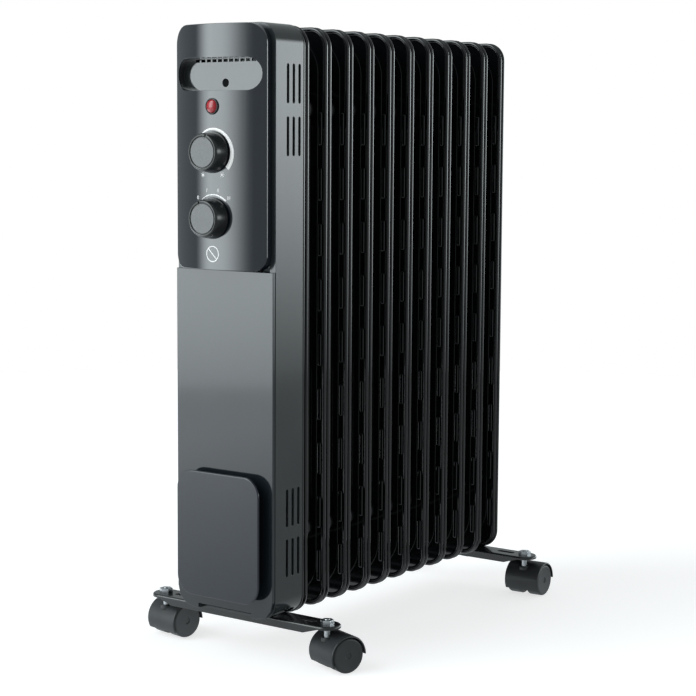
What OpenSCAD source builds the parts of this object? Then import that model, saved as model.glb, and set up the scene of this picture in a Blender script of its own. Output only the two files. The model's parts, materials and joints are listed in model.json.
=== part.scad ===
// Oil filled column heater: pressed steel fins on two oil headers, a control box in front
// and four twin-wheel casters under two foot bars. Millimetres, +Z up.
// The control box faces -Y, the fins are stacked along +Y, and +X is the user's right.
// The origin is on the floor, under the middle of the heater's overall box.
// Inside the modules, frame() puts y = 0 at the front cover and z = 0 at the fins' lower edge.

/* [Fins] */
// Number of fins
fin_count = 11; // [7:1:11]
// Width of a fin
fin_w = 122.8; // [110:0.2:150]
// Height of a fin
fin_h = 580; // [480:1:700]
// Corner radius of a fin
fin_r = 21; // [12:1:30]
// Distance from one fin to the next
fin_pitch = 36.35; // [28:0.05:48]
// Depth of the curled rim of a fin
rim_d = 10; // [5:0.1:12]
// Thickness of one pressed sheet
sheet = 0.6; // [0.5:0.1:1]
// Outer thickness of the oil channels
channel_d = 10; // [6:0.5:12]
// Width of one oil channel
channel_w = 20; // [12:1:24]
// Distance between the oil channels
channel_gap = 31; // [26:1:34]
// Outer thickness of the header bulges
header_d = 16; // [12:0.5:20]
// Width of the header bulges
header_w = 88; // [84:1:98]
// Height of the header bulges
header_h = 42; // [36:1:48]
// Distance from the end of a fin to the header axis
header_inset = 80; // [60:1:110]
// Radius of the oil passage through the headers
passage_r = 17; // [14:0.5:18]
// Outer radius of the rings between the fins
ring_r = 20; // [18.5:0.5:22]

/* [Control box] */
// Depth of the box from the cover's face to the first fin
box_d = 46.2; // [40:0.1:70]
// Wall thickness of the housing
wall = 2.2; // [1.6:0.1:3]
// Depth of the lower front cover
cover_d = 3.5; // [3:0.1:6]
// Rounding of the cover's front edges
cover_round = 6; // [4:0.5:8]
// Height of the gap between the fins' lower edge and the box
box_lift = 2; // [1:0.5:6]
// Length of one side vent slot
vent_l = 37.5; // [20:0.5:45]
// Width of one side vent slot
vent_w = 3.5; // [2:0.5:5]
// Distance between the side vent slots
vent_pitch = 9; // [7:0.5:10]
// Radius of the cord entry
cord_r = 4.2; // [3:0.1:5]

/* [Control panel] */
// Distance from the panel's side edge to the side of the box
panel_side = 5.1; // [3:0.1:10]
// Height of the panel
panel_h = 235; // [220:1:260]
// Radius of the panel's bulge, seen from above
panel_bow = 127; // [110:1:200]
// Distance that the middle of the panel stands in front of the cover
panel_out = 17; // [13:0.5:22]
// Wall thickness of the panel
panel_t = 2.5; // [1.5:0.1:3.5]
// Distance from the end of the handle recess to the panel's side edge
recess_side = 4.05; // [3.5:0.05:15]
// Height of the handle recess
recess_h = 31.2; // [26:0.2:40]
// Distance from the panel's top to the recess's centre
recess_drop = 47.6; // [30:0.2:60]
// Distance from the panel's top to the lamp
lamp_drop = 78.3; // [70:0.1:84]
// Distance from the panel's top to the thermostat knob
thermostat_drop = 121.9; // [115:0.1:125]
// Distance between the two knobs
knob_spacing = 63.1; // [48:0.1:66]
// Radius of a knob's base
knob_r = 20; // [16:0.5:22]
// Height of a knob
knob_h = 15.2; // [12:0.1:20]
// Radius of the knob shafts
shaft_r = 3; // [2:0.5:4]
// Resting turn of the thermostat knob, clockwise from its upright position
thermostat_turn = 15; // [-120:1:120]
// Resting turn of the selector knob, clockwise from its upright position
selector_turn = -15; // [-45:1:45]

/* [Cord winder] */
// Width of the winder plate
plate_w = 104; // [80:1:110]
// Height of the winder plate
plate_h = 126; // [100:1:180]
// Thickness of the winder plate
plate_t = 2.8; // [2:0.1:5]
// Height of the plate's lower edge above the fins' lower edge
plate_z = 18.5; // [10:0.5:40]
// Gap for the wound cord between the plate and the cover
winder_gap = 8.7; // [6:0.1:16]
// Margin of the plate around the winder neck
winder_margin = 22; // [15:1:30]

/* [Foot bars] */
// Distance from a caster stem to the tip of its bar
bar_end = 13.5; // [8:0.5:20]
// Width of a foot bar
bar_w = 28; // [24:1:32]
// Depth of the side flanges of a foot bar
bar_flange = 9; // [6:0.5:14]
// Sheet thickness of a foot bar
bar_t = 2; // [1.5:0.1:3]
// Distance from the back of the box to the front bar's centre line
front_bar_in = 15.7; // [15:0.1:20]
// Distance from the last fin's middle to the rear bar's centre line
rear_bar_in = 7.5; // [6.5:0.5:9]

/* [Casters] */
// Radius of a caster wheel
wheel_r = 17.5; // [15:0.5:25]
// Width of one caster wheel
wheel_w = 15.5; // [10:0.5:16]
// Trail of the axle behind the stem
trail = 12; // [9:0.5:16]
// Radius of the stem
stem_r = 3; // [2.5:0.25:4]
// Distance between the stems on one bar
stem_spacing = 209; // [180:1:240]
// Height of the fins' lower edge above the top of the caster hoods
leg_gap = 7.3; // [7.1:0.1:30]
// Resting swivel of the front right, front left, rear right and rear left casters
caster_turns = [-20, -9, 3, 20]; // [-180:1:180]

/* [Fits] */
// Radial clearance of a turning fit
run_fit = 0.05; // [0.02:0.01:0.1]
// Clearance between parts that only pass each other
pass_gap = 1; // [0.5:0.1:2]

/* [Hidden] */
$fn = 64;

// Overall frame
knob_gap = 0.5;
knob_reach = panel_out + knob_gap + knob_h;
hood_gap = 1.1;
hood_t = 1.6;
hood_r = wheel_r + hood_gap + hood_t;
wheel_in = 4.5;
hood_half = wheel_in + wheel_w + 1;
ground = wheel_r + hood_r + leg_gap;
first_fin_y = box_d + rim_d / 2;
last_fin_y = first_fin_y + (fin_count - 1) * fin_pitch;
front_bar_y = box_d - front_bar_in;
rear_bar_y = last_fin_y - rear_bar_in;
function hood_reach(turn) = (trail + hood_r) * cos(turn) + hood_half * abs(sin(turn));
rear_reach = rear_bar_y + max(hood_reach(caster_turns[2]), hood_reach(caster_turns[3]));
front_y = (knob_reach - rear_reach) / 2;

// Fins and headers
header_zs = [header_inset, fin_h - header_inset];
header_front_y = first_fin_y - header_d / 2;
ring_l = fin_pitch - header_d;
rim_wall = 2 * sheet;
cap_plate_t = 2;
element_l = last_fin_y - header_front_y - 20;
element_r = 3.5;
element_gap = 7;
terminal_r = 1.6;

// Box and panel
box_z = box_lift;
box_h = fin_h - box_lift + 0.6;
flange_w = 5;
flange_t = 2;
panel_top = box_z + box_h - 1.1;
panel_z = panel_top - panel_h;
panel_r_top = 19;
panel_r_low = 14;
panel_w = fin_w - 2 * panel_side;
cover_h = panel_z - 1 - box_z;
cover_margin = 12;
notch_w = 68;
notch_h = 5;
arch_w = 18;
arch_l = 32;
arch_h = 8;
arch_r = 4;
arch_y = 9;
bow_y = panel_bow - panel_out;
panel_in = -panel_out + panel_t;
recess_w = panel_w - 2 * recess_side;
recess_z = panel_top - recess_drop;
recess_floor_y = 3;
recess_t = 1.5;
tray_wall = 1.3;
slit_pitch = 7;
slit_w = 5;
slit_h = 2.6;
hook_r = 4;
lamp_z = panel_top - lamp_drop;
thermostat_z = panel_top - thermostat_drop;
selector_z = thermostat_z - knob_spacing;
vent_zs = [box_z + 41.7, box_z + 91.4, box_z + box_h - 126.2, box_z + box_h - 76.1];
vent_y = box_d - 24.2;
gland_y = box_d - 20.2;
gland_z = box_z + 30;
gland_r = 6;
gland_rim = 2.5;
shield_t = 1.2;
shield_y = header_front_y - cap_plate_t - shield_t - 0.6;
foot_w = 78;
foot_y = 20;
lamp_r = 7;
lens_r = 6.4;
bezel_r = 7.9;
bezel_t = 1.4;

// Knobs and switches
knob_base_y = -panel_out - knob_gap;
knob_face_y = -knob_reach;
cap_r = knob_r - 5.6;
cap_t = 1;
shaft_hole_r = shaft_r + pass_gap;
bush_r = 5;
bush_l = 6.4;
bush_y = panel_in + 0.1;
shaft_end_y = bush_y + bush_l + 4;
thermostat_block = [34, 20, 26];
selector_block = [30, 22, 30];
pointer_w = 2;

// Inside the box
cutout_x = 28;
cutout_z = selector_z + 6;
cutout_r = 8;
cutout_t = 8;
block_z = header_zs[0] + 85;
block_w = 52;
block_d = 14;
block_h = 16;
tab_d = 5;
tab_y = shield_y - cutout_t - tab_d;
wire_d = 2.4;
bend_r = 2.5;
tilt_z = box_z + wall + shield_t;
tilt_d = 16;
tilt_y = shield_y - tilt_d - 1.2;
tilt_w = 44;
tilt_h = 48;
tilt_wall = 2;
pivot_h = 38;
pivot_r = 1.5;
arm_l = 24;
winder_front = -winder_gap - plate_t;
winder_r = 19;
neck_r = 10;

// Foot bars and casters
bar_top = box_lift;
bar_l = stem_spacing + 2 * bar_end;
flange_end = stem_spacing / 2 - 19.5;
tip_start = stem_spacing / 2 - 1.5;
tip_flange = 3.5;
slot_l = 22;
slot_w = 6.5;
slot_x = stem_spacing / 2 - 24.5;
stem_xs = [1, -1, 1, -1];
bar_ys = [front_bar_y, front_bar_y, rear_bar_y, rear_bar_y];
CASTERS = ["front_right", "front_left", "rear_right", "rear_left"];
axle_r = 2.5;
web_half = wheel_in - 1;
boss_r = 5.8;
boss_top = wheel_r + 16.5;
stem_low = wheel_r + 4;
nut_h = 4.4;
nut_r = 6.9;
bolt_r = 2.5;
bolt_y = rear_bar_y - bar_w / 2 + 7;
bolt_x = ring_r + bolt_r;
screw_x = 30;
screw_r = 2;

function fin_name(i) = str("fin_", i < 10 ? "0" : "", i);

// ---- Shared shapes ----

module frame() { translate([0, front_y, ground]) children(); }

// Extrudes a front view, drawn in X and Z, from y0 towards +Y
module from_front(y0, depth) {
    translate([0, y0 + depth, 0]) rotate([90, 0, 0]) linear_extrude(depth) children();
}

// Rounded rectangle from its lower edge, with separate upper and lower corner radii
module panel_shape(w, h, r_top, r_low) {
    translate([-w / 2 + r_low, 0]) square([w - 2 * r_low, h - r_top]);
    translate([-w / 2 + r_top, r_low]) square([w - 2 * r_top, h - r_low]);
    translate([-w / 2, r_low]) square([w, h - r_top - r_low]);
    for (side = [-1, 1]) {
        translate([side * (w / 2 - r_low), r_low]) circle(r_low);
        translate([side * (w / 2 - r_top), h - r_top]) circle(r_top);
    }
}

module round_rect(w, h, r) { panel_shape(w, h, r, r); }

// Stadium centred on the origin
module stadium(w, h) {
    square([w - h, h], center = true);
    for (side = [-1, 1]) translate([side * (w - h) / 2, 0]) circle(h / 2);
}

// Cylinder along +Y from y0
module rod_y(r, y0, l) { translate([0, y0, 0]) rotate([-90, 0, 0]) cylinder(r = r, h = l); }

// Ring along +Y from y0
module tube_y(r, bore, y0, l) {
    difference() {
        rod_y(r, y0, l);
        rod_y(bore, y0 - 1, l + 2);
    }
}

// Quarter turn of a lead at a corner, from one direction into another
module elbow(corner, before, after) {
    centre = corner + bend_r * (after - before);
    side = cross(-after, before);
    multmatrix([for (k = [0 : 2]) [-after[k], before[k], side[k], centre[k]]])
        rotate_extrude(angle = 90) translate([bend_r, 0]) circle(wire_d / 2);
}

// Round lead with bent corners through a list of points, cut off flush at its two ends
module wire(points) {
    last = len(points) - 1;
    for (i = [1 : last]) {
        run = points[i] - points[i - 1];
        dir = run / norm(run);
        low = i == 1 ? 0 : bend_r;
        high = i == last ? 0 : bend_r;
        translate(points[i - 1] + low * dir) rotate([0, acos(dir.z), atan2(dir.y, dir.x)])
            cylinder(d = wire_d, h = norm(run) - low - high);
        if (i < last) {
            next = points[i + 1] - points[i];
            elbow(points[i], dir, next / norm(next));
        }
    }
}

// ---- Fins and oil circuit ----

// Front view of the oil passages in a fin, drawn smaller by inset
module channel_shape(inset) {
    for (side = [-1, 0, 1])
        translate([side * channel_gap - channel_w / 2 + inset, header_zs[0]])
            square([channel_w - 2 * inset, header_zs[1] - header_zs[0]]);
}

module header_shape(inset) {
    for (z = header_zs) translate([0, z]) stadium(header_w - 2 * inset, header_h - 2 * inset);
}

module fin(i) {
    y = first_fin_y + (i - 1) * fin_pitch;
    color([0.03, 0.03, 0.035]) frame() difference() {
        union() {
            difference() {
                from_front(y - rim_d / 2, rim_d) round_rect(fin_w, fin_h, fin_r);
                from_front(y - rim_d, 2 * rim_d) translate([0, rim_wall])
                    round_rect(fin_w - 2 * rim_wall, fin_h - 2 * rim_wall, fin_r - rim_wall);
            }
            from_front(y - sheet, 2 * sheet) round_rect(fin_w, fin_h, fin_r);
            from_front(y - channel_d / 2, channel_d) channel_shape(0);
            from_front(y - header_d / 2, header_d) header_shape(0);
        }
        from_front(y - channel_d / 2 + sheet, channel_d - 2 * sheet) channel_shape(sheet);
        from_front(y - header_d / 2 + sheet, header_d - 2 * sheet) header_shape(sheet);
        for (z = header_zs) translate([0, 0, z]) rod_y(passage_r, y - header_d, 2 * header_d);
        for (bar_y = [front_bar_y, rear_bar_y])
            translate([-bar_l / 2, bar_y - bar_w / 2, -1]) cube([bar_l, bar_w, bar_top + 1]);
    }
}

module header_rings() {
    color([0.03, 0.03, 0.035]) frame() for (i = [1 : fin_count - 1]) for (z = header_zs)
        translate([0, 0, z])
            tube_y(ring_r, passage_r, first_fin_y + (i - 1) * fin_pitch + header_d / 2, ring_l);
}

// Welded plugs: the upper header is closed at both ends, the lower one at the rear
module header_caps() {
    color([0.03, 0.03, 0.035]) frame() {
        for (z = header_zs) translate([0, 0, z]) {
            rod_y(ring_r, last_fin_y + header_d / 2, cap_plate_t);
            rod_y(passage_r - 4, last_fin_y + header_d / 2 + cap_plate_t, 1.5);
        }
        translate([0, 0, header_zs[1]]) rod_y(ring_r, header_front_y - cap_plate_t, cap_plate_t);
    }
}

module heating_elements() {
    color([0.62, 0.42, 0.3]) frame() translate([0, 0, header_zs[0]])
        for (side = [-1, 1]) translate([side * element_gap, 0, 0]) {
            for (turn = [-1, 1])
                translate([0, 0, turn * element_gap]) rod_y(element_r, header_front_y, element_l);
            translate([0, header_front_y + element_l, 0]) rotate([0, 90, 0])
                rotate_extrude(angle = 180) translate([element_gap, 0]) circle(element_r);
        }
}

// Screwed-in flange with a boss and the terminals of the heating elements
module element_flange() {
    flange_y = header_front_y - cap_plate_t;
    pin_x = passage_r - 2 * terminal_r;
    color([0.7, 0.68, 0.6]) frame() translate([0, 0, header_zs[0]]) {
        rod_y(ring_r, flange_y, cap_plate_t);
        rod_y(10, flange_y - 4, 4);
        for (side = [-1, 1]) for (turn = [-1, 1])
            translate([side * pin_x, 0, turn * 4]) rod_y(terminal_r, flange_y - 8, 8);
    }
}

// ---- Control box ----

module box_shape(inset) {
    translate([0, box_z + inset]) round_rect(fin_w - 2 * inset, box_h - 2 * inset, fin_r - 1 - inset);
}

module vent_cuts() {
    for (z = vent_zs) for (i = [0 : 2])
        translate([-fin_w, vent_y + i * vent_pitch, z + vent_l / 2]) rotate([0, 90, 0])
            linear_extrude(2 * fin_w) stadium(vent_l, vent_w);
}

// Arched cut-outs in the lower corners, over the front foot bar
module corner_arches() {
    for (side = [-1, 1]) translate([side * (fin_w / 2 - 7.4) - arch_w / 2, arch_y, box_z - 1]) {
        cube([arch_w, arch_l, arch_h + 1 - arch_r]);
        translate([0, arch_r, 0]) cube([arch_w, arch_l - 2 * arch_r, arch_h + 1]);
        for (y = [arch_r, arch_l - arch_r]) translate([0, y, arch_h + 1 - arch_r])
            rotate([0, 90, 0]) cylinder(r = arch_r, h = arch_w);
    }
}

module control_housing() {
    color([0.06, 0.065, 0.07]) frame() difference() {
        union() {
            difference() {
                from_front(cover_d, box_d - cover_d) box_shape(0);
                from_front(cover_d - 1, box_d) box_shape(wall);
            }
            difference() {
                from_front(cover_d, flange_t) box_shape(1);
                from_front(cover_d - 1, flange_t + 2) box_shape(wall + flange_w);
            }
        }
        vent_cuts();
        corner_arches();
        translate([-fin_w / 2 - 1, gland_y, gland_z]) rotate([0, 90, 0])
            cylinder(r = gland_r, h = wall + 2);
        for (side = [-1, 1]) translate([side * screw_x, front_bar_y, 0]) cylinder(r = screw_r, h = 10);
    }
}

// Cover outline with its front edges rounded in plan and along the lower edge
module cover_body(inset, back) {
    intersection() {
        from_front(-1, back + 1) translate([0, box_z + inset])
            panel_shape(fin_w - 2 * inset, cover_h - 2 * inset, 0.5, fin_r - 1 - inset);
        translate([0, 0, -1]) linear_extrude(fin_h) {
            translate([-fin_w / 2 + cover_round, inset]) square([fin_w - 2 * cover_round, 20]);
            for (side = [-1, 1]) translate([side * (fin_w / 2 - cover_round), cover_round])
                circle(cover_round - inset);
        }
        translate([-fin_w / 2, 0, 0]) rotate([90, 0, 90]) linear_extrude(fin_w) {
            translate([inset, box_z + cover_round]) square([20, fin_h]);
            translate([cover_round, box_z + cover_round]) circle(cover_round - inset);
        }
    }
}

module lower_front_cover() {
    color([0.06, 0.065, 0.07]) frame() difference() {
        cover_body(0, cover_d);
        from_front(wall, 10) translate([0, box_z + cover_margin])
            round_rect(fin_w - 2 * cover_margin, cover_h - 2 * cover_margin, 10);
        translate([-notch_w / 2, -1, box_z - 1]) cube([notch_w, 20, notch_h + 1]);
    }
}

// Panel outline in front view and its bow in plan, both drawn smaller by inset
module panel_body(inset, back) {
    intersection() {
        from_front(-panel_out - 1, panel_out + 1 + back) translate([0, panel_z + inset])
            panel_shape(panel_w - 2 * inset, panel_h - 2 * inset,
                panel_r_top - inset, panel_r_low - inset);
        translate([0, bow_y, 0]) cylinder(r = panel_bow - inset, h = 2 * fin_h, $fn = 180);
    }
}

module control_panel() {
    color([0.015, 0.015, 0.02]) frame() difference() {
        panel_body(0, cover_d);
        panel_body(panel_t, cover_d + 1);
        from_front(-panel_out - 2, panel_out) translate([0, recess_z]) stadium(recess_w, recess_h);
        translate([0, 0, lamp_z]) rod_y(lamp_r, -panel_out - 2, panel_out);
        for (z = [thermostat_z, selector_z]) translate([0, 0, z])
            rod_y(shaft_hole_r, -panel_out - 2, panel_out);
    }
}

module recess_tray() {
    color([0.12, 0.12, 0.125]) frame() difference() {
        intersection() {
            from_front(-panel_out, panel_out + recess_floor_y + recess_t) translate([0, recess_z])
                stadium(recess_w + 2 * tray_wall, recess_h + 2 * tray_wall);
            translate([0, bow_y, 0]) cylinder(r = panel_bow - panel_t, h = 2 * fin_h, $fn = 180);
        }
        from_front(-panel_out - 1, panel_out + 1 + recess_floor_y) translate([0, recess_z])
            stadium(recess_w, recess_h);
        for (i = [-5 : 5])
            translate([i * slit_pitch - slit_w / 2, 0, recess_z + recess_h / 2 - slit_h - 0.8])
                cube([slit_w, 10, slit_h]);
        translate([0, 0, recess_z - recess_h / 4]) rod_y(hook_r, 0, 10);
    }
}

module lamp_bezel() {
    color([0.02, 0.02, 0.02]) frame() translate([0, 0, lamp_z]) {
        tube_y(bezel_r, lens_r + 0.1, -panel_out - bezel_t, bezel_t);
        tube_y(lamp_r - 0.05, lens_r - 0.5, -panel_out, 9);
    }
}

module lamp_lens() {
    color([0.55, 0.03, 0.03]) frame() translate([0, 0, lamp_z]) {
        rod_y(lens_r, -panel_out - bezel_t, bezel_t);
        rod_y(lens_r - 0.6, -panel_out, 8);
        intersection() {
            translate([0, -panel_out + 4.6, 0]) sphere(8);
            rod_y(lens_r, -panel_out - 4, 4 - bezel_t);
        }
    }
}

// ---- Knobs, switches and wiring ----

module knob_place(z, turn) { translate([0, 0, z]) rotate([0, turn, 0]) children(); }

// Knob about the Y axis, hollow at the back, with a seat for the cap and a bore for the shaft
module knob(z, turn) {
    color([0.025, 0.025, 0.03]) frame() knob_place(z, turn) difference() {
        translate([0, knob_base_y, 0]) rotate([90, 0, 0]) rotate_extrude() polygon([
            [shaft_r, 1], [7, 1], [7, knob_h - 5], [knob_r - 5, knob_h - 5], [knob_r - 2, 0],
            [knob_r, 0], [knob_r - 2.4, knob_h - 1.2], [knob_r - 3.4, knob_h], [cap_r, knob_h],
            [cap_r, knob_h - cap_t], [shaft_r, knob_h - cap_t]]);
        translate([-pointer_w / 2, knob_face_y - 1, cap_r + 1.2]) cube([pointer_w, 2.2, 8]);
    }
}

module knob_cap(z, turn) {
    color([0.32, 0.33, 0.34]) frame() knob_place(z, turn) difference() {
        rod_y(cap_r, knob_face_y, cap_t);
        translate([-pointer_w / 2, knob_face_y - 1, cap_r - 3]) cube([pointer_w, 3, 8]);
    }
}

module shaft(z) {
    color([0.7, 0.7, 0.72]) frame() translate([0, 0, z])
        rod_y(shaft_r, knob_face_y + cap_t, shaft_end_y - knob_face_y - cap_t);
}

// Switch block with a plain bearing for its shaft
module switch_body(z, block) {
    frame() translate([0, 0, z]) difference() {
        union() {
            rod_y(bush_r, bush_y, bush_l);
            translate([-block.x / 2, bush_y + bush_l, -block.z / 2]) cube(block);
        }
        rod_y(shaft_r + run_fit, bush_y - 1, shaft_end_y - bush_y + 1 + pass_gap);
    }
}

module thermostat_body() { color([0.85, 0.82, 0.75]) switch_body(thermostat_z, thermostat_block); }

module selector_body() { color([0.2, 0.2, 0.22]) switch_body(selector_z, selector_block); }

// Steel back of the box, with a foot that is screwed to the front foot bar
module heat_shield() {
    color([0.55, 0.56, 0.57]) frame() difference() {
        union() {
            from_front(shield_y, shield_t) box_shape(wall);
            translate([-foot_w / 2, foot_y, box_z + wall])
                cube([foot_w, shield_y - foot_y + shield_t, shield_t]);
        }
        translate([0, 0, header_zs[0]]) rod_y(passage_r + pass_gap, 0, box_d);
        for (side = [-1, 1]) translate([side * screw_x, front_bar_y, 0]) cylinder(r = screw_r, h = 20);
    }
}

module thermal_cutout() {
    color([0.75, 0.72, 0.65]) frame() translate([cutout_x, 0, cutout_z]) {
        rod_y(cutout_r, shield_y - cutout_t, cutout_t);
        for (side = [-1, 1]) translate([side * 4 - 1.5, tab_y, -0.4]) cube([3, tab_d, 0.8]);
    }
}

module terminal_block() {
    color([0.9, 0.9, 0.88]) frame() difference() {
        translate([-block_w / 2, shield_y - block_d, block_z - block_h / 2])
            cube([block_w, block_d, block_h]);
        for (i = [-2 : 2]) translate([i * 10, 0, block_z]) rod_y(2.4, shield_y - block_d - 1, 9);
    }
}

// Internal leads from the terminal block up to the switches and the cut-out
module wiring() {
    top = block_z + block_h / 2;
    lead_y = shield_y - 6;
    tab = tab_y + tab_d / 2;
    low_turn = selector_z - 28;
    high_turn = thermostat_z - 28;
    color([0.7, 0.1, 0.08]) frame() {
        wire([[-20, lead_y, top], [-20, lead_y, selector_z], [-20, 3, selector_z],
            [-selector_block.x / 2, 3, selector_z]]);
        wire([[-10, lead_y, top], [-10, lead_y, low_turn], [-10, 4, low_turn],
            [-10, 4, selector_z - selector_block.z / 2]]);
        wire([[cutout_x - 4, tab, cutout_z - 0.4], [cutout_x - 4, tab, top + 20], [18, tab, top + 20],
            [18, tab, top]]);
        wire([[cutout_x + 4, tab, cutout_z + 0.4], [cutout_x + 4, tab, high_turn], [12, tab, high_turn],
            [12, 2, high_turn], [12, 2, thermostat_z - thermostat_block.z / 2]]);
    }
}

module tilt_switch_body() {
    color([0.85, 0.85, 0.82]) frame() translate([0, tilt_y, tilt_z]) {
        difference() {
            translate([-tilt_w / 2, 0, 0]) cube([tilt_w, tilt_d, tilt_h]);
            translate([-tilt_w / 2 + tilt_wall, tilt_wall, tilt_wall])
                cube([tilt_w - 2 * tilt_wall, tilt_d - 2 * tilt_wall, tilt_h - 2 * tilt_wall]);
        }
        translate([0, 0, pivot_h]) rod_y(pivot_r, tilt_wall, tilt_d - 2 * tilt_wall);
    }
}

// Pendulum weight that swings on the pin of the tilt switch
module tilt_pendulum() {
    color([0.6, 0.6, 0.62]) frame() translate([0, tilt_y, tilt_z + pivot_h]) difference() {
        union() {
            rod_y(4, 4, tilt_d - 8);
            translate([-1.5, 6, -arm_l]) cube([3, tilt_d - 12, arm_l]);
            translate([0, 0, -arm_l]) rod_y(6.5, 4, tilt_d - 8);
        }
        rod_y(pivot_r + run_fit, 0, tilt_d);
    }
}

// Strain-relief bush around the cord entry in the left wall
module cord_gland() {
    color([0.03, 0.03, 0.03]) frame() translate([-fin_w / 2, gland_y, gland_z]) rotate([0, 90, 0])
        difference() {
            union() {
                translate([0, 0, -3]) cylinder(r = gland_r + gland_rim, h = 3);
                cylinder(r = gland_r, h = wall);
                translate([0, 0, wall]) cylinder(r = gland_r + 1.5, h = 4);
            }
            translate([0, 0, -4]) cylinder(r = cord_r, h = wall + 10);
        }
}

// ---- Cord winder ----

module winder_neck() {
    color([0.03, 0.03, 0.035]) frame() from_front(-winder_gap, winder_gap)
        translate([0, plate_z + winder_margin])
            round_rect(plate_w - 2 * winder_margin, plate_h - 2 * winder_margin, neck_r);
}

module winder_plate() {
    color([0.03, 0.03, 0.035]) frame() from_front(winder_front, plate_t) translate([0, plate_z])
        round_rect(plate_w, plate_h, winder_r);
}

// ---- Foot bars ----

module bar_shape(inset) { stadium(bar_l - 2 * inset, bar_w - 2 * inset); }

// Pressed bar, open below, with side flanges that run out before the tips
module foot_bar(bar_y) {
    color([0.02, 0.02, 0.02]) frame() translate([0, bar_y, 0]) difference() {
        union() {
            translate([0, 0, bar_top - tip_flange]) linear_extrude(tip_flange) bar_shape(0);
            intersection() {
                translate([0, 0, bar_top - bar_flange - 1]) linear_extrude(bar_flange) bar_shape(0);
                translate([0, bar_w / 2 + 1, 0]) rotate([90, 0, 0]) linear_extrude(bar_w + 2) polygon([
                    [-flange_end, bar_top - bar_flange], [flange_end, bar_top - bar_flange],
                    [tip_start, bar_top - tip_flange], [tip_start, bar_top - 2],
                    [-tip_start, bar_top - 2], [-tip_start, bar_top - tip_flange]]);
            }
        }
        translate([0, 0, bar_top - bar_flange - 2]) linear_extrude(bar_flange + 2 - bar_t) bar_shape(bar_t);
        for (side = [-1, 1]) {
            translate([side * stem_spacing / 2, 0, -10]) cylinder(r = stem_r, h = 20);
            translate([side * slot_x, 0, -10]) linear_extrude(20) stadium(slot_l, slot_w);
        }
        children();
    }
}

module front_foot_bar() {
    foot_bar(front_bar_y) for (side = [-1, 1])
        translate([side * screw_x, 0, -10]) cylinder(r = screw_r, h = 20);
}

module rear_foot_bar() {
    foot_bar(rear_bar_y) for (side = [-1, 1])
        translate([side * bolt_x, bolt_y - rear_bar_y, -10]) cylinder(r = bolt_r + 0.25, h = 20);
}

module front_bar_screws() {
    color([0.75, 0.75, 0.77]) frame() for (side = [-1, 1]) translate([side * screw_x, front_bar_y, 0]) {
        translate([0, 0, bar_top - bar_t]) cylinder(r = screw_r, h = bar_t + wall + shield_t + 3);
        translate([0, 0, bar_top - bar_t - 2.4]) cylinder(r = 2 * screw_r, h = 2.4);
    }
}

// U-bolt over the lower header with a wing nut on each leg
module rear_bar_clamp() {
    leg_low = bar_top - bar_t - 7;
    color([0.75, 0.75, 0.77]) frame() translate([0, bolt_y, 0]) {
        translate([0, 0, header_inset]) rotate([90, 0, 0]) rotate_extrude(angle = 180)
            translate([bolt_x, 0]) circle(bolt_r);
        for (side = [-1, 1]) translate([side * bolt_x, 0, 0]) {
            translate([0, 0, leg_low]) cylinder(r = bolt_r, h = header_inset - leg_low);
            difference() {
                union() {
                    translate([0, 0, leg_low + 1]) cylinder(r = 4.2, h = 6);
                    translate([-11, -1, leg_low - 2]) cube([22, 2, 6]);
                }
                translate([0, 0, leg_low - 5]) cylinder(r = bolt_r, h = 20);
            }
        }
    }
}

// ---- Casters ----

module at_stem(c) { translate([stem_xs[c] * stem_spacing / 2, front_y + bar_ys[c], 0]) children(); }

// Caster frame: the stem on Z at the origin, the axle along X and the trail towards +Y
module at_caster(c) { at_stem(c) rotate([0, 0, caster_turns[c]]) children(); }

module caster_stems() {
    color([0.78, 0.78, 0.8]) for (c = [0 : 3]) at_stem(c) translate([0, 0, stem_low])
        cylinder(r = stem_r, h = ground + bar_top + nut_h + 0.6 - stem_low);
}

module caster_nuts() {
    color([0.72, 0.74, 0.75]) for (c = [0 : 3]) at_stem(c) translate([0, 0, ground + bar_top])
        difference() {
            cylinder(r = nut_r, h = nut_h, $fn = 6);
            translate([0, 0, -1]) cylinder(r = stem_r, h = nut_h + 2);
        }
}

// Side view of the hood about the axle: 30 degrees below the axle in front, level with it behind
module hood_sector(r) {
    intersection() {
        circle(r);
        union() {
            translate([-2 * r, 0]) square([4 * r, 2 * r]);
            polygon([[0, 0], [-2 * r, 0], [-2 * r, -1.15 * r], [-0.9 * r, -0.52 * r]]);
            translate([0, -2]) square([2 * r, 3]);
        }
    }
}

// Hood with a centre web, an axle bore and a socket that turns on the stem
module hood(c) {
    cavity_l = hood_half - web_half + 1;
    color([0.05, 0.05, 0.055]) at_caster(c) difference() {
        union() {
            translate([-hood_half, trail, wheel_r]) rotate([90, 0, 90]) linear_extrude(2 * hood_half)
                hood_sector(hood_r);
            translate([0, 0, wheel_r - 1]) cylinder(r = boss_r, h = boss_top - wheel_r + 1);
        }
        for (side = [-1, 1]) translate([side * (web_half + cavity_l / 2), trail, wheel_r])
            rotate([0, 90, 0]) cylinder(r = hood_r - hood_t, h = cavity_l, center = true);
        translate([0, 0, stem_low - 1]) cylinder(r = stem_r + run_fit, h = ground);
        translate([-hood_half, trail, wheel_r]) rotate([0, 90, 0]) cylinder(r = axle_r, h = 2 * hood_half);
        translate([0, 0, boss_top]) cylinder(r = stem_r + 4, h = ground);
    }
}

module axle(c) {
    color([0.7, 0.7, 0.72]) at_caster(c) translate([-hood_half + 4, trail, wheel_r]) rotate([0, 90, 0])
        cylinder(r = axle_r, h = 2 * hood_half - 8);
}

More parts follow.
